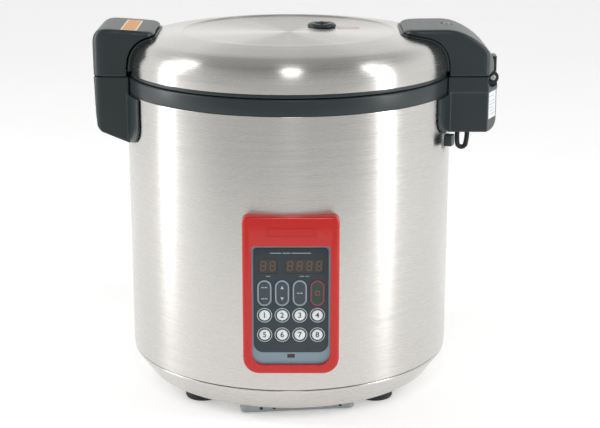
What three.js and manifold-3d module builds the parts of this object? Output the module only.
// Large round rice cooker: a brushed steel drum on a tapered pan with four feet, a black collar,
// an inner pot over an induction coil, a hinged steel lid with a flip-up latch on the left,
// and a red control panel with keys on the front.
// Millimetres, +Z up, +X towards the hinge, -Y towards the control panel.
import * as THREE from "three";
import { mergeVertices } from "three/addons/utils/BufferGeometryUtils.js";
import Module from "manifold-3d";

const wasm = await Module();
wasm.setup();

// ---- Driving dimensions -----------------------------------------------------------------------

// The stack, from the floor up.
const FOOT_HEIGHT = 12;
const PAN_HEIGHT = 31.5;
const SHELL_HEIGHT = 327;
const COLLAR_HEIGHT = 19;
const LID_GAP = 0.8;
const LID_RIM_HEIGHT = 4.5;
const LID_HEIGHT = 44.4;

// The rounds.
const BODY_RADIUS = 200;
const PAN_TAPER = 24;
const COLLAR_INSET = 0.5;
const LID_INSET = 1;
const LID_RIM_INSET = 2.5;
const POT_SPACE = 29;
const BASE_SPACE = 65;
const POT_CORNER = 40;

const PAN_FLOOR_RADIUS = BODY_RADIUS - PAN_TAPER;
const POT_RADIUS = BODY_RADIUS - POT_SPACE;
const POT_DEPTH = SHELL_HEIGHT - BASE_SPACE;

// Walls and sheets.
const SHELL_WALL = 1.2;
const PAN_WALL = 1.5;
const LINER_WALL = 1.2;
const POT_WALL = 2.5;
const MOULDING_WALL = 3;
const BOARD_THICKNESS = 1.6;

// Clearances.
const GAP = 0.3;
const POT_CLEARANCE = 3.5;
const KEY_CLEARANCE = 0.4;
const KNUCKLE_CLEARANCE = 1;
const LATCH_CLEARANCE = 1.6;

// Handles.
const HANDLE_HALF_WIDTH = 55;
const SADDLE_HALF_WIDTH = 95;
const SADDLE_THICKNESS = 2.8;
const SPLIT_GAP = 0.6;
const LIP_THICKNESS = 1.9;
const HINGE_FACE = BODY_RADIUS + 51;
const BLOCK_FACE = HINGE_FACE + 4;
const BLOCK_CORNER_X = HINGE_FACE - 10;
const HINGE_CHEEK = 25;
const ARM_TIP = BODY_RADIUS - 63;
const ARM_RISE = 7;
const BLOCK_DEPTH = 67.7;
const PIN_X = HINGE_FACE - 1.5;
const PIN_DROP = 6;
const PIN_RADIUS = 2.5;
const KNUCKLE_RADIUS = 8;
const LEAF_HALF_WIDTH = 11.5;
const LEAF_THICKNESS = 4.6;
const LEAF_HEIGHT = 24;
const KNUCKLE_WIDTH = 13;
const LATCH_FACE = -BODY_RADIUS - 37.5;
const LATCH_TIP = -BODY_RADIUS + 39;
const LATCH_CORNER = 14;
const HOUSING_DEPTH = 81.2;
const LATCH_PIN_X = LATCH_TIP - 13;
const LATCH_PIN_RADIUS = 2;
const LATCH_PIN_DROP = 1.2;
const LATCH_LUG_RADIUS = 3.8;
const LATCH_LUG_Y = 30;
const LATCH_LUG_WIDTH = 6;
const LEVER_RISE = 8;

// Control panel, in its own frame: x across, y up from the floor, z forward from the body's axis.
const PANEL_X = 3.2;
const KEY_PITCH = 20.3;
const OVERLAY_WIDTH = 4 * KEY_PITCH + 4.8;
const WINDOW_WIDTH = OVERLAY_WIDTH + 4.5;
const BEZEL_WIDTH = WINDOW_WIDTH + 20.8;
const BEZEL_FRONT = BODY_RADIUS + 10;
const BEZEL_BASE = FOOT_HEIGHT + PAN_HEIGHT + 24.5;
const BEZEL_TOP = BEZEL_BASE + 189;
const BEZEL_FACE_WALL = 4;
const WINDOW_BASE = BEZEL_BASE + 11;
const WINDOW_TOP = BEZEL_TOP - 34.4;
const PLATE_THICKNESS = 2;
const PLATE_MARGIN = 3.2;
const OVERLAY_BASE = WINDOW_BASE + 14.7;
const OVERLAY_TOP = WINDOW_TOP - 2.7;
const OVERLAY_THICKNESS = 0.8;
const ROUND_KEY_RADIUS = 6.25;
const ROUND_KEY_ROWS = [OVERLAY_BASE + 45.5, OVERLAY_BASE + 21.8];
const OVAL_KEY_WIDTH = 16.4;
const OVAL_KEY_HEIGHT = 31;
const OVAL_KEY_Y = OVERLAY_BASE + 72.4;
const KEY_PROUD = 0.9;
const KEY_TRAVEL = 0.8;
const KEY_FLANGE = 1.2;
const KEY_FLANGE_THICKNESS = 1.2;
const SWITCH_HEIGHT = 1.2;
const DISPLAY_Y = WINDOW_TOP - 24.1;
const DISPLAY_HEIGHT = 17;
const DISPLAYS = [
  { digits: "two_digit", x: -26.3, width: 21 },
  { digits: "four_digit", x: 15.5, width: 44 },
];
const INDICATOR = { y: WINDOW_BASE + 10, width: 8, height: 4 };

// Feet, fan and what stands on the pan.
const FOOT_RADIUS = 22;
const FOOT_MARGIN = 4.1;
const FOOT_OFFSET = (PAN_FLOOR_RADIUS - FOOT_MARGIN - FOOT_RADIUS) * Math.SQRT1_2;
const FAN_SIZE = 92;
const FAN_DEPTH = 25;
const FAN_X = 9;
const FAN_Y = 71 - PAN_FLOOR_RADIUS;
const FAN_BLADES = 7;
const COVER_WIDTH = 137;
const COVER_DEPTH = 108;
const COVER_HEIGHT = 9.6;
const COVER_TURN = THREE.MathUtils.degToRad(6.7);
const COVER_WALL = 1.2;

// Coil, its carrier and the pot's sensor.
const LINER_FLOOR_GAP = 5;
const COIL_INNER = 42;
const COIL_OUTER = POT_RADIUS - 33;
const COIL_THICKNESS = 11;
const COIL_TURNS = 5;
const CARRIER_THICKNESS = 8;
const CARRIER_RADIUS = POT_RADIUS - 21;
const CARRIER_ARMS = 8;
const SENSOR_RADIUS = 14;
const SENSOR_STEM_RADIUS = 4;
const SENSOR_CAP_HEIGHT = 8;

// Steam vent and cord gland.
const VENT_X = 41;
const VENT_Y = 44;
const VENT_RADIUS = 18;
const VENT_NECK_RADIUS = 12;
const STEAM_BORE_RADIUS = 7;
const GLAND_Z = FOOT_HEIGHT + PAN_HEIGHT + 34.5;
const GLAND_NECK_RADIUS = 9;
const GLAND_BORE_RADIUS = 4.5;

// Smoothness: facets round a large shell, a middling round and a small one.
const LARGE_ROUND = 32;
const INNER_ROUND = 24;
const SMALL_ROUND = 16;

// ---- Levels and radii that follow -------------------------------------------------------------

const SHELL_BASE = FOOT_HEIGHT + PAN_HEIGHT;
const SHELL_TOP = SHELL_BASE + SHELL_HEIGHT;
const COLLAR_TOP = SHELL_TOP + COLLAR_HEIGHT;
const LID_BASE = COLLAR_TOP + LID_GAP;
const DOME_BASE = LID_BASE + LID_RIM_HEIGHT;
const LID_CREST = DOME_BASE + LID_HEIGHT;
const LID_RADIUS = BODY_RADIUS - LID_INSET;
const SHELL_INNER = BODY_RADIUS - SHELL_WALL;
const PAN_FLOOR_TOP = FOOT_HEIGHT + PAN_WALL;
const LEDGE_Z = COLLAR_TOP - 6.5;
const POT_FLANGE_WIDTH = 10;
const POT_FLANGE_THICKNESS = 3;
const POT_RIM_TOP = LEDGE_Z + GAP + POT_FLANGE_THICKNESS;
const POT_FLOOR = POT_RIM_TOP - POT_DEPTH;
const LINER_INNER = POT_RADIUS + POT_CLEARANCE;
const LINER_FLOOR = POT_FLOOR - POT_WALL - LINER_FLOOR_GAP;
const COIL_TOP = LINER_FLOOR - LINER_WALL - GAP;
const CARRIER_TOP = COIL_TOP - COIL_THICKNESS - GAP;
const PIN_Z = COLLAR_TOP - PIN_DROP;
const LATCH_PIN_Z = LID_CREST - LATCH_PIN_DROP;
const BLOCK_TOP = COLLAR_TOP - GAP;
const ARM_BASE = BLOCK_TOP + SPLIT_GAP;
const SADDLE_FACE = BODY_RADIUS + GAP;
const BLOCK_LOW = BLOCK_TOP - BLOCK_DEPTH;
const ARM_TOP = LID_CREST + ARM_RISE;

// ---- Materials --------------------------------------------------------------------------------

const finish = (color, roughness, metalness) => () =>
  new THREE.MeshStandardMaterial({ color, roughness, metalness });

const brushedSteel = finish("#c8c6c2", 0.32, 1);
const plainSteel = finish("#b9bab8", 0.35, 1);
const castAluminium = finish("#b4b6b8", 0.45, 1);
const nonStick = finish("#3b3b3d", 0.5, 0.2);
const blackPlastic = finish("#2f3939", 0.42, 0);
const redPlastic = finish("#c83434", 0.22, 0);
const platePlastic = finish("#8294a0", 0.4, 0.1);
const overlayFilm = finish("#3a4650", 0.45, 0);
const smokedPlastic = finish("#4b4644", 0.15, 0);
const whiteKey = finish("#e8ecec", 0.4, 0);
const darkKey = finish("#414b54", 0.4, 0);
const greyKey = finish("#8f9ca4", 0.4, 0);
const rubber = finish("#20242a", 0.8, 0);
const silicone = finish("#c9c6bd", 0.6, 0);
const copper = finish("#b06a3a", 0.4, 1);
const circuitBoard = finish("#2f6b45", 0.5, 0);
const galvanised = finish("#a9adb0", 0.45, 1);

// ---- Solids -----------------------------------------------------------------------------------

// A three.js geometry as a solid that can be joined and cut.
function solid(geometry) {
  const bare = geometry.index ? geometry.toNonIndexed() : geometry.clone();
  bare.deleteAttribute("normal");
  bare.deleteAttribute("uv");
  const merged = mergeVertices(bare, 1e-3);
  const mesh = new wasm.Mesh({
    numProp: 3,
    vertProperties: merged.attributes.position.array,
    triVerts: new Uint32Array(merged.index.array),
  });
  return new wasm.Manifold(mesh);
}

// A joined or cut solid as a three.js geometry again.
function geometryOf(manifold) {
  const { vertProperties, triVerts } = manifold.getMesh();
  const geometry = new THREE.BufferGeometry();
  geometry.setAttribute("position", new THREE.BufferAttribute(vertProperties, 3));
  geometry.setIndex(new THREE.BufferAttribute(triVerts, 1));
  geometry.computeVertexNormals();
  return geometry;
}

const cut = (body, ...tools) =>
  tools.reduce((left, tool) => left.subtract(solid(tool)), solid(body));
const joined = (...pieces) =>
  pieces.slice(1).reduce((whole, piece) => whole.add(solid(piece)), solid(pieces[0]));

// A profile of [radius, height] points turned about the vertical Y axis of its own frame,
// whichever way round its points run.
function spun(profile, segments = LARGE_ROUND) {
  const outline = profile.map(([radius, height]) => new THREE.Vector2(radius, height));
  const closed = outline[0].x > 0;
  if (THREE.ShapeUtils.area(outline) < 0) {
    outline.reverse();
  }
  if (closed) {
    outline.push(outline[0].clone());
  }
  return new THREE.LatheGeometry(outline, segments);
}

// The same, standing upright in a frame whose Z is up.
const turned = (profile, segments) => spun(profile, segments).rotateX(Math.PI / 2);

const disc = (radius, low, high) => [[0, low], [radius, low], [radius, high], [0, high]];
const tube = (inner, outer, low, high) => [
  [inner, low],
  [outer, low],
  [outer, high],
  [inner, high],
];

function shapeOf(points) {
  return new THREE.Shape(points.map(([x, y]) => new THREE.Vector2(x, y)));
}

// A rectangle with its own radius at the base's corners and at the top's.
function roundedRect(left, base, right, top, baseRadius, topRadius = baseRadius) {
  const shape = new THREE.Shape();
  shape.moveTo(left + baseRadius, base);
  shape.lineTo(right - baseRadius, base);
  shape.absarc(right - baseRadius, base + baseRadius, baseRadius, -Math.PI / 2, 0);
  shape.lineTo(right, top - topRadius);
  shape.absarc(right - topRadius, top - topRadius, topRadius, 0, Math.PI / 2);
  shape.lineTo(left + topRadius, top);
  shape.absarc(left + topRadius, top - topRadius, topRadius, Math.PI / 2, Math.PI);
  shape.lineTo(left, base + baseRadius);
  shape.absarc(left + baseRadius, base + baseRadius, baseRadius, Math.PI, Math.PI * 1.5);
  return shape;
}

function centredRect(x, y, width, height, radius) {
  return roundedRect(x - width / 2, y - height / 2, x + width / 2, y + height / 2, radius);
}

function circle(x, y, radius, sides = 12) {
  return shapeOf(
    Array.from({ length: sides }, (_, i) => {
      const angle = (i / sides) * Math.PI * 2;
      return [x + radius * Math.cos(angle), y + radius * Math.sin(angle)];
    }),
  );
}

// A shape in x and y given a thickness from z = low to z = high.
function slab(shape, low, high, curveSegments = 3, bevel = 0) {
  return new THREE.ExtrudeGeometry(shape, {
    depth: high - low - 2 * bevel,
    bevelEnabled: bevel > 0,
    bevelSize: bevel,
    bevelThickness: bevel,
    bevelOffset: -bevel,
    bevelSegments: 2,
    curveSegments,
  }).translate(0, 0, low + bevel);
}

// An elevation outline in x and z given a width, from y = -half to y = +half.
function elevation(shape, half) {
  return slab(shape, -half, half).rotateX(Math.PI / 2);
}

function box(x0, x1, y0, y1, z0, z1) {
  return new THREE.BoxGeometry(x1 - x0, y1 - y0, z1 - z0).translate(
    (x0 + x1) / 2,
    (y0 + y1) / 2,
    (z0 + z1) / 2,
  );
}

// A round bar along Y through x, z.
function barAlongY(x, z, radius, y0, y1, segments = SMALL_ROUND) {
  return new THREE.CylinderGeometry(radius, radius, y1 - y0, segments).translate(x, (y0 + y1) / 2, z);
}

// A round bar standing at x, y.
function post(x, y, radius, z0, z1, segments = SMALL_ROUND) {
  return new THREE.CylinderGeometry(radius, radius, z1 - z0, segments)
    .rotateX(Math.PI / 2)
    .translate(x, y, (z0 + z1) / 2);
}

const group = new THREE.Group();

// A named sub-part, placed in a group.
function place(parent, name, geometry, material, position = [0, 0, 0]) {
  const mesh = new THREE.Mesh(
    geometry.isBufferGeometry ? geometry : geometryOf(geometry),
    material(),
  );
  mesh.name = name;
  mesh.position.set(...position);
  parent.add(mesh);
  return mesh;
}

// ---- Drum: pan, feet, shell and collar --------------------------------------------------------

const PAN_SPIGOT = 11;
const PAN_BEND = 5;
const drum = new THREE.Group();
group.add(drum);

function basePan() {
  const spigotOuter = SHELL_INNER - GAP;
  const shoulder = SHELL_BASE - GAP;
  const pan = turned([
    [0, FOOT_HEIGHT],
    [PAN_FLOOR_RADIUS, FOOT_HEIGHT],
    [PAN_FLOOR_RADIUS + PAN_BEND, FOOT_HEIGHT + PAN_BEND / 2],
    [BODY_RADIUS, shoulder - 2],
    [BODY_RADIUS, shoulder],
    [spigotOuter, shoulder],
    [spigotOuter, SHELL_BASE + PAN_SPIGOT],
    [spigotOuter - PAN_WALL, SHELL_BASE + PAN_SPIGOT],
    [spigotOuter - PAN_WALL, shoulder - PAN_WALL],
    [PAN_FLOOR_RADIUS + PAN_BEND - PAN_WALL, PAN_FLOOR_TOP + PAN_BEND / 2],
    [PAN_FLOOR_RADIUS - PAN_WALL, PAN_FLOOR_TOP],
    [0, PAN_FLOOR_TOP],
  ]);
  const through = [FOOT_HEIGHT - 1, PAN_FLOOR_TOP + 1];
  const intake = post(FAN_X, FAN_Y, FAN_SIZE * 0.44, ...through, SMALL_ROUND);
  const SLOTS = 9;
  const SLOT_PITCH = 12;
  const SLOT_LENGTH = 42;
  const slotEnd = PAN_FLOOR_RADIUS - 26;
  const exhaust = Array.from({ length: SLOTS }, (_, i) => {
    const x = (i - (SLOTS - 1) / 2) * SLOT_PITCH;
    return box(x - 2.5, x + 2.5, slotEnd - SLOT_LENGTH, slotEnd, ...through);
  });
  return cut(pan, intake, ...exhaust);
}

function outerShell() {
  const wall = turned(tube(SHELL_INNER, BODY_RADIUS, SHELL_BASE, SHELL_TOP - GAP));
  const frontOpening = box(
    PANEL_X - WINDOW_WIDTH / 2 - 1,
    PANEL_X + WINDOW_WIDTH / 2 + 1,
    -BODY_RADIUS - 10,
    -BODY_RADIUS + 20,
    WINDOW_BASE + 4,
    WINDOW_TOP,
  );
  const glandHole = spun(
    disc(GLAND_NECK_RADIUS + GAP, BODY_RADIUS - 20, BODY_RADIUS + 20),
    SMALL_ROUND,
  ).translate(0, 0, GLAND_Z);
  return cut(wall, frontOpening, glandHole);
}

function collar() {
  const outer = BODY_RADIUS - COLLAR_INSET;
  const skirt = SHELL_INNER - GAP;
  const recess = POT_RADIUS + POT_FLANGE_WIDTH + 2.5;
  return turned([
    [skirt, SHELL_TOP],
    [outer, SHELL_TOP],
    [outer, COLLAR_TOP - 2],
    [outer - 2, COLLAR_TOP],
    [recess + 2.5, COLLAR_TOP],
    [recess, COLLAR_TOP - 2.5],
    [recess, LEDGE_Z],
    [LINER_INNER, LEDGE_Z],
    [LINER_INNER, SHELL_TOP],
    [skirt - 4, SHELL_TOP],
    [skirt - 4, SHELL_TOP - 8.5],
    [skirt, SHELL_TOP - 8.5],
  ]);
}

function foot() {
  const top = FOOT_HEIGHT - GAP;
  return turned(
    [
      [0, 4],
      [6, 4],
      [6, 0],
      [FOOT_RADIUS - 2, 0],
      [FOOT_RADIUS, 3],
      [FOOT_RADIUS, top],
      [0, top],
    ],
    SMALL_ROUND,
  );
}

place(drum, "base_pan", basePan(), brushedSteel);
place(drum, "outer_shell", outerShell(), brushedSteel);
place(drum, "collar", collar(), blackPlastic);
for (const [side, x] of [["left", -FOOT_OFFSET], ["right", FOOT_OFFSET]]) {
  for (const [end, y] of [["front", -FOOT_OFFSET], ["rear", FOOT_OFFSET]]) {
    place(drum, `foot_${end}_${side}`, foot(), rubber, [x, y, 0]);
  }
}

// ---- Pot, liner, coil and sensor --------------------------------------------------------------

// The corner between a cup's wall and its floor, as a quarter turn from floor to wall.
function cupCorner(radius, floor, corner, steps) {
  return Array.from({ length: steps + 1 }, (_, i) => {
    const angle = (i / steps) * (Math.PI / 2);
    return [
      radius - corner + corner * Math.sin(angle),
      floor + corner - corner * Math.cos(angle),
    ];
  });
}

function innerPot() {
  const inner = POT_RADIUS - POT_WALL;
  const flange = POT_RADIUS + POT_FLANGE_WIDTH;
  return turned(
    [
      [0, POT_FLOOR - POT_WALL],
      ...cupCorner(POT_RADIUS, POT_FLOOR - POT_WALL, POT_CORNER + POT_WALL, 3),
      [POT_RADIUS, LEDGE_Z + GAP],
      [flange, LEDGE_Z + GAP],
      [flange, POT_RIM_TOP],
      [inner, POT_RIM_TOP],
      ...cupCorner(inner, POT_FLOOR, POT_CORNER, 3).reverse(),
      [0, POT_FLOOR],
    ],
    INNER_ROUND,
  );
}

function liner() {
  const outer = LINER_INNER + LINER_WALL;
  const underside = LINER_FLOOR - LINER_WALL;
  const flangeTop = SHELL_TOP - GAP;
  const hole = SENSOR_RADIUS + 2;
  return turned(
    [
      [hole, underside],
      ...cupCorner(outer, underside, POT_CORNER + LINER_WALL, 3),
      [outer, flangeTop - LINER_WALL],
      [outer + 12, flangeTop - LINER_WALL],
      [outer + 12, flangeTop],
      [LINER_INNER, flangeTop],
      ...cupCorner(LINER_INNER, LINER_FLOOR, POT_CORNER, 3).reverse(),
      [hole, LINER_FLOOR],
    ],
    INNER_ROUND,
  );
}

// The coil's turns lie side by side: a ridge for each, on a flat underside.
function inductionCoil() {
  const pitch = (COIL_OUTER - COIL_INNER) / COIL_TURNS;
  const ridges = Array.from({ length: COIL_TURNS }, (_, i) => {
    const start = COIL_OUTER - i * pitch;
    return [
      [start, COIL_TOP - 3],
      [start - pitch / 2, COIL_TOP],
    ];
  }).flat();
  return turned(
    [
      [COIL_INNER, COIL_TOP - COIL_THICKNESS],
      [COIL_OUTER, COIL_TOP - COIL_THICKNESS],
      ...ridges,
      [COIL_INNER, COIL_TOP - 3],
    ],
    INNER_ROUND,
  );
}

// A hub with arms under the coil; every other arm has a leg down to the pan over a foot.
function coilCarrier() {
  const base = CARRIER_TOP - CARRIER_THICKNESS;
  const hub = turned(tube(SENSOR_STEM_RADIUS + GAP, 24, base, CARRIER_TOP), SMALL_ROUND);
  const arms = Array.from({ length: CARRIER_ARMS }, (_, i) => {
    const angle = (i / CARRIER_ARMS) * Math.PI * 2;
    const arm = box(20, CARRIER_RADIUS + 7, -8, 8, base, CARRIER_TOP);
    return arm.rotateZ(angle);
  });
  const legs = Array.from({ length: 4 }, (_, i) => {
    const leg = box(CARRIER_RADIUS - 6, CARRIER_RADIUS + 6, -7, 7, PAN_FLOOR_TOP + GAP, base + 1);
    return leg.rotateZ(((i + 0.5) / 4) * Math.PI * 2);
  });
  return joined(hub, ...arms, ...legs);
}

const SENSOR_TOP = POT_FLOOR - POT_WALL - GAP;

function potSensor() {
  const capBase = SENSOR_TOP - SENSOR_CAP_HEIGHT;
  return turned(
    [
      [0, CARRIER_TOP - CARRIER_THICKNESS - 6],
      [SENSOR_STEM_RADIUS, CARRIER_TOP - CARRIER_THICKNESS - 6],
      [SENSOR_STEM_RADIUS, capBase],
      [SENSOR_RADIUS, capBase],
      [SENSOR_RADIUS, SENSOR_TOP - 1],
      [SENSOR_RADIUS - 1, SENSOR_TOP],
      [0, SENSOR_TOP],
    ],
    SMALL_ROUND,
  );
}

// A coil spring: turns of wire about an axis along Y of its own frame.
function coilSpring(radius, wire, height, turns) {
  const steps = turns * 10;
  const points = Array.from({ length: steps + 1 }, (_, i) => {
    const angle = (i / steps) * turns * Math.PI * 2;
    const rise = (i / steps - 0.5) * height;
    return new THREE.Vector3(radius * Math.cos(angle), rise, radius * Math.sin(angle));
  });
  const section = new THREE.Shape();
  section.absarc(0, 0, wire / 2, 0, Math.PI * 2);
  return new THREE.ExtrudeGeometry(section, {
    steps,
    curveSegments: 3,
    extrudePath: new THREE.CatmullRomCurve3(points),
    bevelEnabled: false,
  });
}

const SENSOR_SPRING_WIRE = 1.2;
const springBase = CARRIER_TOP + GAP + SENSOR_SPRING_WIRE / 2;
const springTop = SENSOR_TOP - SENSOR_CAP_HEIGHT - GAP - SENSOR_SPRING_WIRE / 2;

place(drum, "inner_pot", innerPot(), nonStick);
place(drum, "pot_liner", liner(), plainSteel);
place(drum, "induction_coil", inductionCoil(), copper);
place(drum, "coil_carrier", coilCarrier(), blackPlastic);
place(drum, "pot_sensor", potSensor(), castAluminium);
place(
  drum,
  "sensor_spring",
  coilSpring(SENSOR_STEM_RADIUS + 3, SENSOR_SPRING_WIRE, springTop - springBase, 3).rotateX(
    Math.PI / 2,
  ),
  plainSteel,
  [0, 0, (springBase + springTop) / 2],
);

// ---- Electronics and fan on the pan -----------------------------------------------------------

const PAN_SEAT = PAN_FLOOR_TOP + GAP;

function powerBoard() {
  const standoff = 6;
  const base = PAN_SEAT + standoff;
  const top = base + BOARD_THICKNESS;
  const sheet = box(-80, 80, 22, 94, base, top);
  const standoffs = [-72, 72].flatMap((x) =>
    [30, 86].map((y) => post(x, y, 4, PAN_SEAT, base + 1, 8)),
  );
  const capacitors = [-55, -28, 0].map((x) => post(x, 74, 10, top - 1, top + 34, 12));
  const choke = box(24, 62, 54, 88, top - 1, top + 28);
  const driver = box(-70, -30, 30, 50, top - 1, top + 12);
  return joined(sheet, ...standoffs, ...capacitors, choke, driver);
}

// A comb of fins on a thick base, running along the fan's air stream.
function heatSink() {
  const FINS = 8;
  const width = 90;
  const fin = 2.5;
  const pitch = (width - fin) / (FINS - 1);
  const base = 6;
  const height = 34;
  const fins = Array.from({ length: FINS }, (_, i) => {
    const left = (FINS - 1 - i) * pitch;
    return [[left + fin, base], [left + fin, height], [left, height], [left, base]];
  });
  const outline = [[0, 0], [width, 0], ...fins.flat().slice(1, -1)];
  return elevation(shapeOf(outline), 28).translate(FAN_X - width / 2, -24, PAN_SEAT);
}

function fanFrame() {
  const half = FAN_SIZE / 2;
  const duct = half - 3;
  const top = PAN_SEAT + FAN_DEPTH;
  const frame = slab(centredRect(FAN_X, FAN_Y, FAN_SIZE, FAN_SIZE, 6), PAN_SEAT, top, 3);
  const shell = cut(frame, post(FAN_X, FAN_Y, duct, PAN_SEAT - 1, top + 1, 28));
  const hub = solid(post(FAN_X, FAN_Y, 16, PAN_SEAT, PAN_SEAT + 3, 20));
  const spoke = box(-duct - 1, duct + 1, -2, 2, PAN_SEAT, PAN_SEAT + 3);
  const spokes = [Math.PI / 4, -Math.PI / 4].map((turn) =>
    solid(spoke.clone().rotateZ(turn).translate(FAN_X, FAN_Y, 0)),
  );
  const bearing = solid(post(FAN_X, FAN_Y, 2 + GAP, PAN_SEAT - 1, PAN_SEAT + 4, 12));
  return spokes.reduce((whole, piece) => whole.add(piece), shell.add(hub)).subtract(bearing);
}

// Hub cup, pitched blades and a short shaft, about the fan's own axis.
function fanRotor() {
  const low = PAN_SEAT + 3 + 1;
  const high = PAN_SEAT + FAN_DEPTH - 2;
  const tip = FAN_SIZE / 2 - 3 - 1.5;
  const hub = post(0, 0, 17, low, high, 20);
  const shaft = post(0, 0, 2, PAN_SEAT, low + 1, 12);
  const blades = Array.from({ length: FAN_BLADES }, (_, i) =>
    box(15, tip, -1, 1, -9, 9)
      .rotateX(THREE.MathUtils.degToRad(52))
      .translate(0, 0, (low + high) / 2)
      .rotateZ((i / FAN_BLADES) * Math.PI * 2),
  );
  return joined(hub, shaft, ...blades);
}

// A shallow sheet tray under the fan, open to the pan, with slots in its floor.
function intakeCover() {
  const halfWidth = COVER_WIDTH / 2;
  const halfDepth = COVER_DEPTH / 2;
  const tray = slab(centredRect(0, 0, COVER_WIDTH, COVER_DEPTH, 4), 0, COVER_HEIGHT, 2);
  const hollow = box(
    -halfWidth + COVER_WALL,
    halfWidth - COVER_WALL,
    -halfDepth + COVER_WALL,
    halfDepth - COVER_WALL,
    COVER_WALL,
    COVER_HEIGHT + 1,
  );
  const SLOTS = 8;
  const slots = Array.from({ length: SLOTS }, (_, i) => {
    const y = (i - (SLOTS - 1) / 2) * 10;
    return box(-42, 42, y - 2.5, y + 2.5, -1, COVER_WALL + 1);
  });
  return cut(tray, hollow, ...slots);
}

place(drum, "power_board", powerBoard(), circuitBoard);
place(drum, "heat_sink", heatSink(), castAluminium);
place(drum, "fan_frame", fanFrame(), blackPlastic);
place(drum, "fan_rotor", fanRotor(), blackPlastic, [FAN_X, FAN_Y, 0]);
const cover = place(drum, "intake_cover", intakeCover(), galvanised, [
  FAN_X - 4,
  FAN_Y - 3,
  FOOT_HEIGHT - GAP - COVER_HEIGHT,
]);
cover.rotation.z = COVER_TURN;

// A moulded bush through the rear wall for the mains lead: collar outside, nut inside, open bore.
function cordGland() {
  const face = BODY_RADIUS + 0.8;
  const inside = SHELL_INNER - 2.4;
  return spun(
    [
      [GLAND_BORE_RADIUS, inside - 5],
      [GLAND_NECK_RADIUS + 3.5, inside - 5],
      [GLAND_NECK_RADIUS + 3.5, inside],
      [GLAND_NECK_RADIUS, inside],
      [GLAND_NECK_RADIUS, face],
      [GLAND_NECK_RADIUS + 4, face],
      [GLAND_NECK_RADIUS + 4, face + 3],
      [GLAND_BORE_RADIUS + 3, face + 5],
      [GLAND_BORE_RADIUS + 2, face + 10],
      [GLAND_BORE_RADIUS, face + 10],
    ],
    SMALL_ROUND,
  );
}
place(drum, "cord_gland", cordGland(), rubber, [0, 0, GLAND_Z]);

// ---- Lid --------------------------------------------------------------------------------------

const lid = new THREE.Group();
group.add(lid);

// The lid's section from its edge to its middle, as [inset from the edge, height as a share of the
// crest]: an upright edge, a tight shoulder, a long fall-off to a crest ring and a dished middle.
const DOME_SECTION = [
  [0, 0],
  [0.1, 0.187],
  [1.5, 0.39],
  [5.5, 0.595],
  [12, 0.75],
  [21, 0.85],
  [39, 0.928],
  [54, 0.973],
  [66, 1],
  [70, 0.962],
  [96, 0.93],
];

const domeProfile = DOME_SECTION.map(([inset, rise]) => [
  LID_RADIUS - inset,
  DOME_BASE + rise * LID_HEIGHT,
]);
domeProfile.push([0, domeProfile.at(-1)[1]]);

// The dome's section moved outwards square to its surface; a negative distance moves it inwards.
function offsetDome(distance) {
  return domeProfile.map(([radius, height], i) => {
    const before = domeProfile[Math.max(i - 1, 0)];
    const after = domeProfile[Math.min(i + 1, domeProfile.length - 1)];
    const along = new THREE.Vector2(after[0] - before[0], after[1] - before[1]).normalize();
    const atEnd = radius === 0;
    return [
      atEnd ? 0 : radius + along.y * distance,
      height + (atEnd ? 1 : -along.x) * distance,
    ];
  });
}

// Everything under the dome's offset surface, down to a level.
function underDome(distance, level) {
  const surface = offsetDome(distance);
  return turned([[0, level], [surface[0][0], level], ...surface]);
}

function lidDome() {
  const outer = domeProfile;
  const inner = offsetDome(-SHELL_WALL);
  inner[0] = [LID_RADIUS - SHELL_WALL, DOME_BASE];
  const shell = turned([...outer, ...inner.reverse()]);
  const ventHole = post(VENT_X, VENT_Y, VENT_NECK_RADIUS + GAP, LID_BASE, LID_CREST + 5);
  return cut(shell, ventHole);
}

const LID_RIM_INNER = POT_RADIUS + 4;

function lidRim() {
  const outer = BODY_RADIUS - LID_RIM_INSET;
  const lip = LID_RADIUS - SHELL_WALL - GAP - 0.7;
  const top = DOME_BASE - GAP;
  return turned([
    [LID_RIM_INNER, LID_BASE],
    [outer, LID_BASE],
    [outer, top],
    [lip, top],
    [lip, top + 6],
    [lip - MOULDING_WALL, top + 6],
    [lip - MOULDING_WALL, top],
    [LID_RIM_INNER, top],
  ]);
}

function innerLid() {
  const plate = turned(
    [
      [0, LID_BASE + 3],
      [60, LID_BASE + 3],
      [140, LID_BASE],
      [LID_RIM_INNER - 1, LID_BASE],
      [LID_RIM_INNER - 1, LID_BASE + 1.2],
      [140, LID_BASE + 1.2],
      [60, LID_BASE + 4.2],
      [0, LID_BASE + 4.2],
    ],
    INNER_ROUND,
  );
  return cut(plate, post(VENT_X, VENT_Y, STEAM_BORE_RADIUS, LID_BASE - 2, LID_BASE + 8));
}

// A lipped ring under the lid that closes on the pot's rolled rim.
function lidGasket() {
  const low = POT_RIM_TOP + GAP;
  const high = LID_BASE - GAP;
  const inner = LID_RIM_INNER + 1;
  const outer = POT_RADIUS + POT_FLANGE_WIDTH;
  return turned(
    [
      [inner + 1.5, low],
      [outer, low],
      [outer, low + 1.2],
      [inner + 3, high - 1],
      [outer, high - 1],
      [outer, high],
      [inner, high],
      [inner, high - 1],
    ],
    INNER_ROUND,
  );
}

const domeMiddle = domeProfile.at(-1)[1];

function ventCap() {
  const base = domeMiddle + GAP + 0.4;
  return turned(
    [
      [STEAM_BORE_RADIUS, base - 8],
      [VENT_NECK_RADIUS, base - 8],
      [VENT_NECK_RADIUS, base],
      [VENT_RADIUS, base],
      [VENT_RADIUS, base + 2],
      [VENT_RADIUS - 3, base + 4],
      [STEAM_BORE_RADIUS, base + 2.5],
    ],
    SMALL_ROUND,
  );
}

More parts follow.
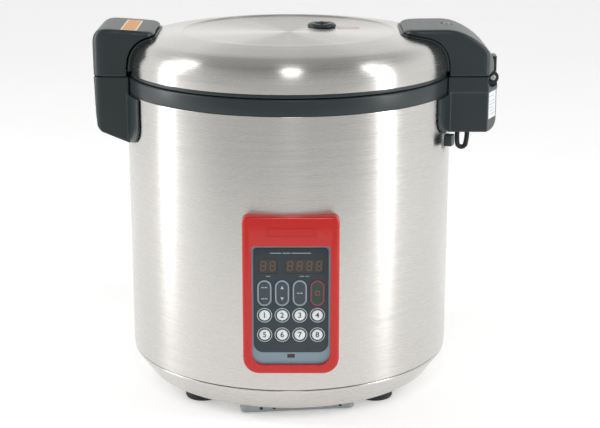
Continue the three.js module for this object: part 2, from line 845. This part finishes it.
function steamTube() {
  const top = domeMiddle - 8 - GAP;
  return turned(tube(STEAM_BORE_RADIUS, STEAM_BORE_RADIUS + 2.5, LID_BASE + 4.5, top), SMALL_ROUND);
}

place(lid, "lid_dome", lidDome(), brushedSteel);
place(lid, "lid_rim", lidRim(), blackPlastic);
place(lid, "inner_lid", innerLid(), castAluminium);
place(lid, "lid_gasket", lidGasket(), silicone);
place(lid, "steam_vent_cap", ventCap(), blackPlastic, [VENT_X, VENT_Y, 0]);
place(lid, "steam_tube", steamTube(), silicone, [VENT_X, VENT_Y, 0]);

// ---- Hinge side -------------------------------------------------------------------------------

// The handles' hidden inner ends, well inside the drum's surface that trims them.
const HANDLE_ROOT = BODY_RADIUS - 50;

// Plan outline of the hinge block or of its hollow: square to the body, its outer corners cut back.
function hingePlan(inset) {
  const half = HANDLE_HALF_WIDTH - inset;
  const corner = BLOCK_CORNER_X - inset;
  const face = BLOCK_FACE - inset;
  return shapeOf([
    [HANDLE_ROOT, -half],
    [corner, -half],
    [face, -HINGE_CHEEK],
    [face, HINGE_CHEEK],
    [corner, half],
    [HANDLE_ROOT, half],
  ]);
}

// The drum's own surface with a resting gap, as a cutting tool between two levels.
const againstDrum = (low, high) => turned(disc(SADDLE_FACE, low, high));

// A thin saddle on the drum behind a handle, with rounded lower corners.
function saddle(side, low, high) {
  const band = turned(tube(SADDLE_FACE, SADDLE_FACE + SADDLE_THICKNESS, low, high));
  const face = roundedRect(-SADDLE_HALF_WIDTH, low, SADDLE_HALF_WIDTH, high, 22, 1);
  const window = slab(face, BODY_RADIUS - 80, BODY_RADIUS + 40, 3)
    .rotateX(Math.PI / 2)
    .rotateZ((side * Math.PI) / 2);
  return solid(band).intersect(solid(window));
}

const scoopRadius = KNUCKLE_RADIUS + KNUCKLE_CLEARANCE;
const pinReach = LEAF_HALF_WIDTH + GAP + KNUCKLE_WIDTH + GAP;

function hingeBlock() {
  const low = BLOCK_LOW;
  const bend = 12;
  const side = new THREE.Shape();
  side.moveTo(HANDLE_ROOT, low);
  side.lineTo(BLOCK_FACE - bend, low);
  side.quadraticCurveTo(BLOCK_FACE, low, BLOCK_FACE, low + bend);
  side.lineTo(BLOCK_FACE, BLOCK_TOP);
  side.lineTo(HANDLE_ROOT, BLOCK_TOP);
  const outer = solid(elevation(side, HANDLE_HALF_WIDTH + 1)).intersect(
    solid(slab(hingePlan(0), low - 1, BLOCK_TOP + 1)),
  );
  const wall = MOULDING_WALL;
  const hollow = slab(hingePlan(wall), low + wall, BLOCK_TOP - wall);
  const kept = solid(
    barAlongY(PIN_X, PIN_Z, scoopRadius + wall, -HANDLE_HALF_WIDTH, HANDLE_HALF_WIDTH, 24),
  );
  const shell = outer
    .subtract(solid(hollow).subtract(kept))
    .add(saddle(1, low + 3, SHELL_TOP - 1));
  const reach = HANDLE_HALF_WIDTH + 1;
  const scoop = barAlongY(PIN_X, PIN_Z, scoopRadius, -reach, reach, 24);
  const pastSide = HANDLE_HALF_WIDTH + 5;
  const corner = box(PIN_X, BLOCK_FACE + 5, -pastSide, pastSide, PIN_Z, BLOCK_TOP + 1);
  let block = shell.subtract(solid(scoop)).subtract(solid(corner));
  for (const middle of [-1, 1].map((s) => s * (LEAF_HALF_WIDTH + GAP + KNUCKLE_WIDTH / 2))) {
    const [y0, y1] = [middle - KNUCKLE_WIDTH / 2, middle + KNUCKLE_WIDTH / 2];
    const webBase = PIN_Z - scoopRadius - 4;
    const web = box(PIN_X - KNUCKLE_RADIUS + 1, BLOCK_FACE - 0.5, y0, y1, webBase, PIN_Z);
    block = block.add(solid(barAlongY(PIN_X, PIN_Z, KNUCKLE_RADIUS, y0, y1))).add(solid(web));
  }
  return block
    .subtract(solid(barAlongY(PIN_X, PIN_Z, PIN_RADIUS + GAP, -pinReach - 5, pinReach + 5, 16)))
    .subtract(solid(againstDrum(low - 10, BLOCK_TOP + 10)));
}

function hingePin() {
  const shank = barAlongY(0, 0, PIN_RADIUS, -pinReach - 1, pinReach + 1, 16);
  const heads = [-1, 1].map((s) => {
    const ends = [s * pinReach, s * (pinReach + 2)].sort((a, b) => a - b);
    return barAlongY(0, 0, PIN_RADIUS + 1.6, ...ends, 16);
  });
  return joined(shank, ...heads);
}

// The moving leaf: a knuckle between the block's two, and a plate up the arm's outer face.
function hingeLeaf() {
  const back = HINGE_FACE + GAP;
  const width = [-LEAF_HALF_WIDTH, LEAF_HALF_WIDTH];
  const knuckle = barAlongY(PIN_X, PIN_Z, KNUCKLE_RADIUS, ...width);
  const plate = box(back, back + LEAF_THICKNESS, ...width, PIN_Z, PIN_Z + LEAF_HEIGHT);
  const past = LEAF_HALF_WIDTH + 5;
  const bore = barAlongY(PIN_X, PIN_Z, PIN_RADIUS + GAP, -past, past, 16);
  return joined(knuckle, plate).subtract(solid(bore));
}

// Elevation of the arm's outside: a nearly level top from its tip, then a long round down to its face.
function armSide(inset) {
  const side = new THREE.Shape();
  const tip = ARM_TIP + inset;
  const face = HINGE_FACE - inset;
  const top = ARM_TOP - inset;
  side.moveTo(tip, LID_CREST - 14);
  side.lineTo(tip, top - 5);
  side.quadraticCurveTo(tip, top - 1, ARM_TIP + 13, top - 0.5);
  side.lineTo(HINGE_FACE - 59, top);
  side.bezierCurveTo(face - 29, top - 1, face, LID_CREST - 16, face, ARM_BASE + 12);
  side.lineTo(face, ARM_BASE);
  side.lineTo(tip, ARM_BASE);
  return side;
}

function armPlan(inset) {
  const half = HANDLE_HALF_WIDTH - inset;
  const tip = ARM_TIP + inset;
  const face = HINGE_FACE + 1 - inset;
  const corner = BLOCK_CORNER_X - inset;
  const round = 22;
  const shape = new THREE.Shape();
  shape.moveTo(tip, -half + round);
  shape.quadraticCurveTo(tip, -half, ARM_TIP + round + 2, -half);
  shape.lineTo(corner, -half);
  shape.lineTo(face, -HINGE_CHEEK);
  shape.lineTo(face, HINGE_CHEEK);
  shape.lineTo(corner, half);
  shape.lineTo(ARM_TIP + round + 2, half);
  shape.quadraticCurveTo(tip, half, tip, half - round);
  return shape;
}

const ARM_SCREW = { x: HINGE_FACE - 57, y: 4, recess: 6.5, depth: 3.6, head: 4.6, shank: 2 };
const LIP_OUTER = GAP + LIP_THICKNESS;

function hingeArm() {
  const outer = solid(elevation(armSide(0), HANDLE_HALF_WIDTH)).intersect(
    solid(slab(armPlan(0), ARM_BASE, LID_CREST + 20, 5)),
  );
  const top = ARM_TOP;
  const pinRound = (radius) =>
    solid(barAlongY(PIN_X, PIN_Z, radius, -HANDLE_HALF_WIDTH - 1, HANDLE_HALF_WIDTH + 1, 24));
  const screwBoss = solid(post(ARM_SCREW.x, ARM_SCREW.y, ARM_SCREW.recess + 2, top - 14, top));
  const hollow = solid(elevation(armSide(MOULDING_WALL), HANDLE_HALF_WIDTH - MOULDING_WALL))
    .intersect(solid(slab(armPlan(MOULDING_WALL), ARM_BASE - 1, LID_CREST + 20, 5)))
    .subtract(solid(underDome(LIP_OUTER + GAP + MOULDING_WALL, ARM_BASE - 10)))
    .subtract(pinRound(scoopRadius + MOULDING_WALL))
    .subtract(screwBoss);
  const screwHole = (radius, low, high, sides) =>
    solid(post(ARM_SCREW.x, ARM_SCREW.y, radius, low, high, sides));
  const recess = screwHole(ARM_SCREW.recess, top - ARM_SCREW.depth, top + 5);
  const bore = screwHole(ARM_SCREW.shank + GAP, top - 20, top, 12);
  return outer
    .subtract(hollow)
    .subtract(solid(underDome(LIP_OUTER + GAP, ARM_BASE - 10)))
    .subtract(pinRound(scoopRadius))
    .subtract(recess)
    .subtract(bore);
}

function armScrew() {
  const { head: radius, shank } = ARM_SCREW;
  const seat = ARM_TOP - ARM_SCREW.depth + GAP;
  const slotBase = seat + 1.4;
  const head = turned(
    [
      [0, seat - 10],
      [shank, seat - 10],
      [shank, seat],
      [radius, seat],
      [radius, slotBase],
      [radius - 1.5, slotBase + 1],
      [0, slotBase + 1],
    ],
    SMALL_ROUND,
  );
  const slot = box(-4, 4, -0.6, 0.6, slotBase, slotBase + 2);
  return cut(head, slot, slot.clone().rotateZ(Math.PI / 2));
}

// A thin moulded lip between the dome and a handle, following the dome.
function domeLip(plan) {
  const low = DOME_BASE + 2;
  return solid(underDome(LIP_OUTER, low))
    .subtract(solid(underDome(GAP, low - 5)))
    .intersect(solid(slab(plan, low, LID_CREST + 20, 5)));
}

place(drum, "hinge_block", hingeBlock(), blackPlastic);
place(drum, "hinge_pin", hingePin(), plainSteel, [PIN_X, 0, PIN_Z]);
place(lid, "hinge_leaf", hingeLeaf(), blackPlastic);
place(lid, "hinge_arm", hingeArm(), blackPlastic);
place(lid, "hinge_lip", domeLip(armPlan(-1.2)), blackPlastic);
place(lid, "arm_screw", armScrew(), plainSteel, [ARM_SCREW.x, ARM_SCREW.y, 0]);

// The square lead duct under the saddle, and the lid's lead looped under the block.
const DUCT = {
  y: 15.25 - SADDLE_HALF_WIDTH,
  width: 13,
  depth: 10,
  wall: 2,
  low: BLOCK_LOW - 10.5,
  high: BLOCK_LOW + 2.5,
};

function leadDuct() {
  const centre = SADDLE_FACE + GAP + SADDLE_THICKNESS + DUCT.depth / 2;
  const { y, width, depth, wall, low, high } = DUCT;
  const angle = THREE.MathUtils.radToDeg(Math.asin(y / centre));
  const outer = slab(centredRect(0, 0, depth, width, 1.5), low, high, 2);
  const inside = centredRect(0, 0, depth - 2 * wall, width - 2 * wall, 0.8);
  const bore = slab(inside, low - 1, high - wall, 2);
  return cut(outer, bore).translate([centre, 0, 0]).rotate([0, 0, angle]);
}

const LEAD_RADIUS = 3;
const LEAD_LOOP = { inner: BODY_RADIUS + 6.5, width: 11, y: -40, low: BLOCK_LOW - 21.5 };

function lidLead() {
  const top = BLOCK_LOW - GAP;
  const { inner, width, y, low } = LEAD_LOOP;
  const half = width / 2;
  const middle = inner + half;
  const outer = inner + width;
  const route = [
    [outer + 1, top],
    [outer + 0.8, top - 8],
    [outer, low + half + 2],
    [middle + half * 0.75, low + half * 0.35],
    [middle, low],
    [middle - half * 0.75, low + half * 0.35],
    [inner, low + half + 2],
    [inner - 0.2, top - 8],
    [inner, top],
  ].map(([x, z]) => new THREE.Vector3(x, y, z));
  const section = new THREE.Shape();
  section.absarc(0, 0, LEAD_RADIUS, 0, Math.PI * 2);
  return new THREE.ExtrudeGeometry(section, {
    steps: 18,
    curveSegments: 4,
    extrudePath: new THREE.CatmullRomCurve3(route),
    bevelEnabled: false,
  });
}

place(drum, "lead_duct", leadDuct(), blackPlastic);
place(drum, "lid_lead", lidLead(), rubber);

// ---- Latch side -------------------------------------------------------------------------------

// Elevation of the latch lever's outside: a crowned top from its nose, rounded down to its face.
function leverSide(inset) {
  const side = new THREE.Shape();
  const tip = LATCH_TIP - inset;
  const face = LATCH_FACE + inset;
  const top = LID_CREST + LEVER_RISE - inset;
  side.moveTo(tip, LID_CREST - 12);
  side.lineTo(tip, top - 7);
  side.quadraticCurveTo(tip, top - 4, LATCH_TIP - 9, top - 3.4);
  side.lineTo(LATCH_FACE + 18.5, top);
  side.bezierCurveTo(face + 6, top + 0.4, face, top - 6, face, top - 19);
  side.lineTo(face + 1, ARM_BASE);
  side.lineTo(tip, ARM_BASE);
  return side;
}

function leverPlan(inset) {
  const half = HANDLE_HALF_WIDTH - inset;
  const shape = new THREE.Shape();
  const corner = LATCH_CORNER;
  const [tip, face] = [LATCH_TIP - inset, LATCH_FACE + inset];
  shape.moveTo(face + corner, -half);
  shape.lineTo(tip - corner, -half);
  shape.quadraticCurveTo(tip, -half, tip, -half + corner);
  shape.lineTo(tip, half - corner);
  shape.quadraticCurveTo(tip, half, tip - corner, half);
  shape.lineTo(face + corner, half);
  shape.quadraticCurveTo(face, half, face, half - corner);
  shape.lineTo(face, -half + corner);
  shape.quadraticCurveTo(face, -half, face + corner, -half);
  return shape;
}

const LEVER_UNDERSIDE = LIP_OUTER + LATCH_CLEARANCE;
const LATCH_LEG = {
  x0: -BODY_RADIUS - 14,
  x1: -BODY_RADIUS - 14 + MOULDING_WALL,
  half: 14,
  low: BLOCK_TOP - 11.2,
};

// The two lugs that carry the lever's pin, or the pockets they stand in: rounds on a neck.
function latchLugs(radius, half, depth) {
  return [-LATCH_LUG_Y, LATCH_LUG_Y].map((y) => {
    const [x0, x1] = [LATCH_PIN_X - radius, LATCH_PIN_X + radius];
    const round = barAlongY(LATCH_PIN_X, LATCH_PIN_Z, radius, y - half, y + half);
    return joined(round, box(x0, x1, y - half, y + half, LATCH_PIN_Z - depth, LATCH_PIN_Z));
  });
}

function latchLever() {
  const outer = solid(elevation(leverSide(0), HANDLE_HALF_WIDTH)).intersect(
    solid(slab(leverPlan(0), ARM_BASE, LID_CREST + 20, 3)),
  );
  const hollow = solid(elevation(leverSide(MOULDING_WALL), HANDLE_HALF_WIDTH - MOULDING_WALL))
    .intersect(solid(slab(leverPlan(MOULDING_WALL), ARM_BASE - 1, LID_CREST + 20, 3)))
    .subtract(solid(underDome(LEVER_UNDERSIDE + MOULDING_WALL, ARM_BASE - 10)));
  const { x0, x1, half, low } = LATCH_LEG;
  const leg = solid(box(x0, x1, -half, half, low, LID_CREST + LEVER_RISE - 1.5));
  const pockets = latchLugs(LATCH_LUG_RADIUS + GAP * 2, LATCH_LUG_WIDTH / 2 + GAP, 20);
  const reach = LATCH_LUG_Y + LATCH_LUG_WIDTH / 2 + 6;
  const bore = solid(barAlongY(LATCH_PIN_X, LATCH_PIN_Z, LATCH_PIN_RADIUS + GAP, -reach, reach, 12));
  return pockets
    .reduce((body, pocket) => body.subtract(pocket), outer.subtract(hollow).add(leg))
    .subtract(bore)
    .subtract(solid(underDome(LEVER_UNDERSIDE, ARM_BASE - 10)));
}

// The lid's own bracket under the lever: the thin lip, with two lugs up to the lever's pin.
function latchBracket() {
  const lugs = latchLugs(LATCH_LUG_RADIUS, LATCH_LUG_WIDTH / 2, LID_HEIGHT * 0.2);
  const bore = solid(barAlongY(LATCH_PIN_X, LATCH_PIN_Z, LATCH_PIN_RADIUS + GAP, -50, 50, 12));
  return lugs
    .reduce((body, lug) => body.add(lug), domeLip(leverPlan(-1.2)))
    .subtract(bore)
    .subtract(solid(underDome(GAP, ARM_BASE - 10)));
}

function latchPin() {
  const reach = LATCH_LUG_Y + LATCH_LUG_WIDTH / 2 + 5;
  return barAlongY(0, 0, LATCH_PIN_RADIUS, -reach, reach, 12);
}

// Elevation of the housing under the lever, or of its hollow: a nearly upright face, a small bend
// and a long slant back to the drum.
function housingSide(inset) {
  const face = LATCH_FACE + 1.5 + inset;
  const top = BLOCK_TOP - inset;
  const low = BLOCK_TOP - HOUSING_DEPTH + inset;
  return shapeOf([
    [-HANDLE_ROOT, top],
    [face, top],
    [face + 1.5, BLOCK_TOP - 45],
    [face + 3, low + 20],
    [face + 8, low + 14],
    [-BODY_RADIUS + 6, low],
    [-HANDLE_ROOT, low],
  ]);
}

function latchHousing() {
  const low = BLOCK_TOP - HOUSING_DEPTH;
  const outer = solid(elevation(housingSide(0), HANDLE_HALF_WIDTH)).intersect(
    solid(
      slab(
        roundedRect(LATCH_FACE, -HANDLE_HALF_WIDTH, -HANDLE_ROOT, HANDLE_HALF_WIDTH, 12),
        low - 1,
        BLOCK_TOP + 1,
        3,
      ),
    ),
  );
  const hollow = elevation(housingSide(MOULDING_WALL), HANDLE_HALF_WIDTH - MOULDING_WALL);
  const legSlot = box(
    LATCH_LEG.x0 - 10,
    LATCH_LEG.x1 + 8,
    -LATCH_LEG.half - 5,
    LATCH_LEG.half + 5,
    BLOCK_TOP - 10,
    BLOCK_TOP + 1,
  );
  return outer
    .subtract(solid(hollow))
    .subtract(solid(legSlot))
    .add(saddle(-1, low + 5, SHELL_TOP - 1))
    .subtract(solid(againstDrum(low - 10, BLOCK_TOP + 10)));
}

// A steel strike in the housing, beside the lever's leg: an upright on a foot, with a turned-out lip.
function latchCatch() {
  const [half, sheet] = [LATCH_LEG.half + 4, 2];
  const back = LATCH_LEG.x1 + 6;
  const top = BLOCK_TOP - 5;
  const base = top - 48.2;
  const upright = box(back - sheet, back, -half, half, base, top);
  const lip = box(back - 4.5, back, -half, half, top - 4, top - 4 + sheet);
  const foot = box(back - 11, back, -half, half, base, base + sheet);
  return joined(upright, lip, foot);
}

const latch = new THREE.Group();
latch.position.set(LATCH_PIN_X, 0, LATCH_PIN_Z);
lid.add(latch);
place(drum, "latch_housing", latchHousing(), blackPlastic);
place(drum, "latch_catch", latchCatch(), plainSteel);
place(lid, "latch_bracket", latchBracket(), blackPlastic);
place(lid, "latch_pin", latchPin(), plainSteel, [LATCH_PIN_X, 0, LATCH_PIN_Z]);
place(latch, "latch_lever", latchLever(), blackPlastic, [-LATCH_PIN_X, 0, -LATCH_PIN_Z]);

// ---- Control panel ----------------------------------------------------------------------------

const panel = new THREE.Group();
panel.position.x = PANEL_X;
panel.rotation.x = Math.PI / 2;
drum.add(panel);

const PLATE_FRONT = BEZEL_FRONT - BEZEL_FACE_WALL - GAP;
const PLATE_BACK = PLATE_FRONT - PLATE_THICKNESS;
const OVERLAY_BACK = PLATE_FRONT + GAP;
const OVERLAY_FRONT = OVERLAY_BACK + OVERLAY_THICKNESS;
const KEY_FRONT = OVERLAY_FRONT + KEY_PROUD;
const FLANGE_FRONT = PLATE_BACK - GAP;
const FLANGE_BACK = FLANGE_FRONT - KEY_FLANGE_THICKNESS;
const BOARD_FRONT = FLANGE_BACK - KEY_TRAVEL - GAP - SWITCH_HEIGHT;
const BOARD_BACK = BOARD_FRONT - BOARD_THICKNESS;

// The drum's surface in the panel's frame, where the drum's axis stands along y.
const drumInPanel = spun(disc(SADDLE_FACE, 0, COLLAR_TOP)).translate(-PANEL_X, 0, 0);

function bezel() {
  const half = BEZEL_WIDTH / 2;
  const outside = roundedRect(-half, BEZEL_BASE, half, BEZEL_TOP, 19, 7);
  const window = roundedRect(-WINDOW_WIDTH / 2, WINDOW_BASE, WINDOW_WIDTH / 2, WINDOW_TOP, 13, 3);
  const wall = MOULDING_WALL;
  const behind = roundedRect(-half + wall, BEZEL_BASE + wall, half - wall, BEZEL_TOP - wall, 16, 4);
  return cut(
    slab(outside, BODY_RADIUS - 50, BEZEL_FRONT, 5, 3.5),
    slab(window, BODY_RADIUS - 100, BEZEL_FRONT + 5, 5),
    slab(behind, BODY_RADIUS - 100, BEZEL_FRONT - BEZEL_FACE_WALL, 4),
    drumInPanel,
  );
}

// Where the keys stand: four columns, a row of ovals over two rows of rounds.
const columns = [-1.5, -0.5, 0.5, 1.5].map((step) => step * KEY_PITCH);
const ovalNames = ["mode_rocker", "adjust_rocker", "timer_key", "cancel_key"];
const ovalKeys = ovalNames.map((name, i) => ({ name, x: columns[i], y: OVAL_KEY_Y }));
const roundKeys = ROUND_KEY_ROWS.flatMap((y, row) =>
  columns.map((x, i) => ({ name: `menu_key_${row * columns.length + i + 1}`, x, y })),
);

const roundHole = ({ x, y }) => circle(x, y, ROUND_KEY_RADIUS + KEY_CLEARANCE);
const ovalHole = ({ x, y }) => {
  const width = OVAL_KEY_WIDTH + 2 * KEY_CLEARANCE;
  return centredRect(x, y, width, OVAL_KEY_HEIGHT + 2 * KEY_CLEARANCE, width / 2);
};
const displayHole = ({ x, width }) =>
  centredRect(x, DISPLAY_Y, width + 2 * GAP, DISPLAY_HEIGHT + 2 * GAP, 1);

function keyedSheet(shape, low, high) {
  const keyHoles = [...roundKeys.map(roundHole), ...ovalKeys.map(ovalHole)];
  shape.holes.push(...keyHoles, ...DISPLAYS.map(displayHole));
  return slab(shape, low, high, 3);
}

function facePlate() {
  const half = WINDOW_WIDTH / 2 + PLATE_MARGIN;
  const [low, high] = [WINDOW_BASE - PLATE_MARGIN, WINDOW_TOP + PLATE_MARGIN];
  const outline = roundedRect(-half, low, half, high, 8, 3);
  const { y, width, height } = INDICATOR;
  outline.holes.push(centredRect(0, y, width + 2 * GAP, height + 2 * GAP, 0.5));
  return keyedSheet(outline, PLATE_BACK, PLATE_FRONT);
}

function overlay() {
  const half = OVERLAY_WIDTH / 2;
  return keyedSheet(
    roundedRect(-half, OVERLAY_BASE, half, OVERLAY_TOP, 11, 4),
    OVERLAY_BACK,
    OVERLAY_FRONT,
  );
}

function roundKey() {
  return spun(
    [
      [0, FLANGE_BACK],
      [ROUND_KEY_RADIUS + KEY_FLANGE, FLANGE_BACK],
      [ROUND_KEY_RADIUS + KEY_FLANGE, FLANGE_FRONT],
      [ROUND_KEY_RADIUS, FLANGE_FRONT],
      [ROUND_KEY_RADIUS, KEY_FRONT],
      [0, KEY_FRONT],
    ],
    12,
  ).rotateX(Math.PI / 2);
}

const ovalOutline = (grow) =>
  centredRect(
    0,
    0,
    OVAL_KEY_WIDTH + 2 * grow,
    OVAL_KEY_HEIGHT + 2 * grow,
    OVAL_KEY_WIDTH / 2 + grow,
  );

// An oval key with a flange all round behind the plate.
function pushKey() {
  return joined(
    slab(ovalOutline(0), FLANGE_BACK, KEY_FRONT, 3),
    slab(ovalOutline(KEY_FLANGE), FLANGE_BACK, FLANGE_FRONT, 3),
  );
}

// A rocking key turns about its middle, so its flange reaches past the hole only there.
function rockerKey() {
  const ears = centredRect(0, 0, OVAL_KEY_WIDTH + 2 * KEY_FLANGE, 7, 1);
  return joined(
    slab(ovalOutline(0), FLANGE_BACK + 0.8, KEY_FRONT, 3),
    slab(ears, FLANGE_BACK + 0.4, FLANGE_FRONT - 0.3, 2),
  );
}

function displayLens({ width }) {
  return slab(centredRect(0, 0, width, DISPLAY_HEIGHT, 0.8), PLATE_BACK, OVERLAY_FRONT - 0.2, 2);
}

function displayModule({ width }) {
  return box(
    -width / 2,
    width / 2,
    -DISPLAY_HEIGHT / 2,
    DISPLAY_HEIGHT / 2,
    BOARD_FRONT + GAP,
    PLATE_BACK - GAP,
  );
}

// The keypad's board, with a small switch under each key and under each end of a rocker.
function controlBoard() {
  const half = OVERLAY_WIDTH / 2 + 1;
  const sheet = slab(
    roundedRect(-half, OVERLAY_BASE, half, OVERLAY_TOP - 2, 2),
    BOARD_BACK,
    BOARD_FRONT,
    2,
  );
  const rockerEnds = ovalKeys
    .slice(0, 2)
    .flatMap(({ x, y }) => [-10, 10].map((step) => ({ x, y: y + step })));
  const switches = [...roundKeys, ...ovalKeys.slice(2), ...rockerEnds].map(({ x, y }) =>
    box(x - 3, x + 3, y - 3, y + 3, BOARD_FRONT - 1, BOARD_FRONT + SWITCH_HEIGHT),
  );
  const [above, plugTop] = [OVERLAY_BASE + 26, OVERLAY_BASE + 12];
  const processor = box(-14, 6, above, above + 20, BOARD_BACK - 3, BOARD_BACK + 1);
  const plug = box(18, 34, plugTop - 8, plugTop, BOARD_BACK - 8, BOARD_BACK + 1);
  return joined(sheet, ...switches, processor, plug);
}

place(panel, "panel_bezel", bezel(), redPlastic);
place(panel, "face_plate", facePlate(), platePlastic);
place(panel, "keypad_overlay", overlay(), overlayFilm);
place(panel, "control_board", controlBoard(), circuitBoard);
for (const display of DISPLAYS) {
  const at = [display.x, DISPLAY_Y, 0];
  place(panel, `display_lens_${display.digits}`, displayLens(display), smokedPlastic, at);
  place(panel, `display_module_${display.digits}`, displayModule(display), darkKey, at);
}
place(
  panel,
  "indicator_lens",
  slab(centredRect(0, 0, INDICATOR.width, INDICATOR.height, 0.4), PLATE_BACK, PLATE_FRONT - GAP, 2),
  smokedPlastic,
  [0, INDICATOR.y, 0],
);
for (const key of roundKeys) {
  place(panel, key.name, roundKey(), whiteKey, [key.x, key.y, 0]);
}
for (const key of ovalKeys) {
  const rocks = key.name.endsWith("rocker");
  place(panel, key.name, rocks ? rockerKey() : pushKey(), rocks ? darkKey : greyKey, [key.x, key.y, 0]);
}

// The frame's origin: on the floor, under the middle of the whole object's box.
group.updateMatrixWorld(true);
const bounds = new THREE.Box3().setFromObject(group, true);
const middle = bounds.getCenter(new THREE.Vector3());
group.position.set(-middle.x, -middle.y, 0);

export default group;
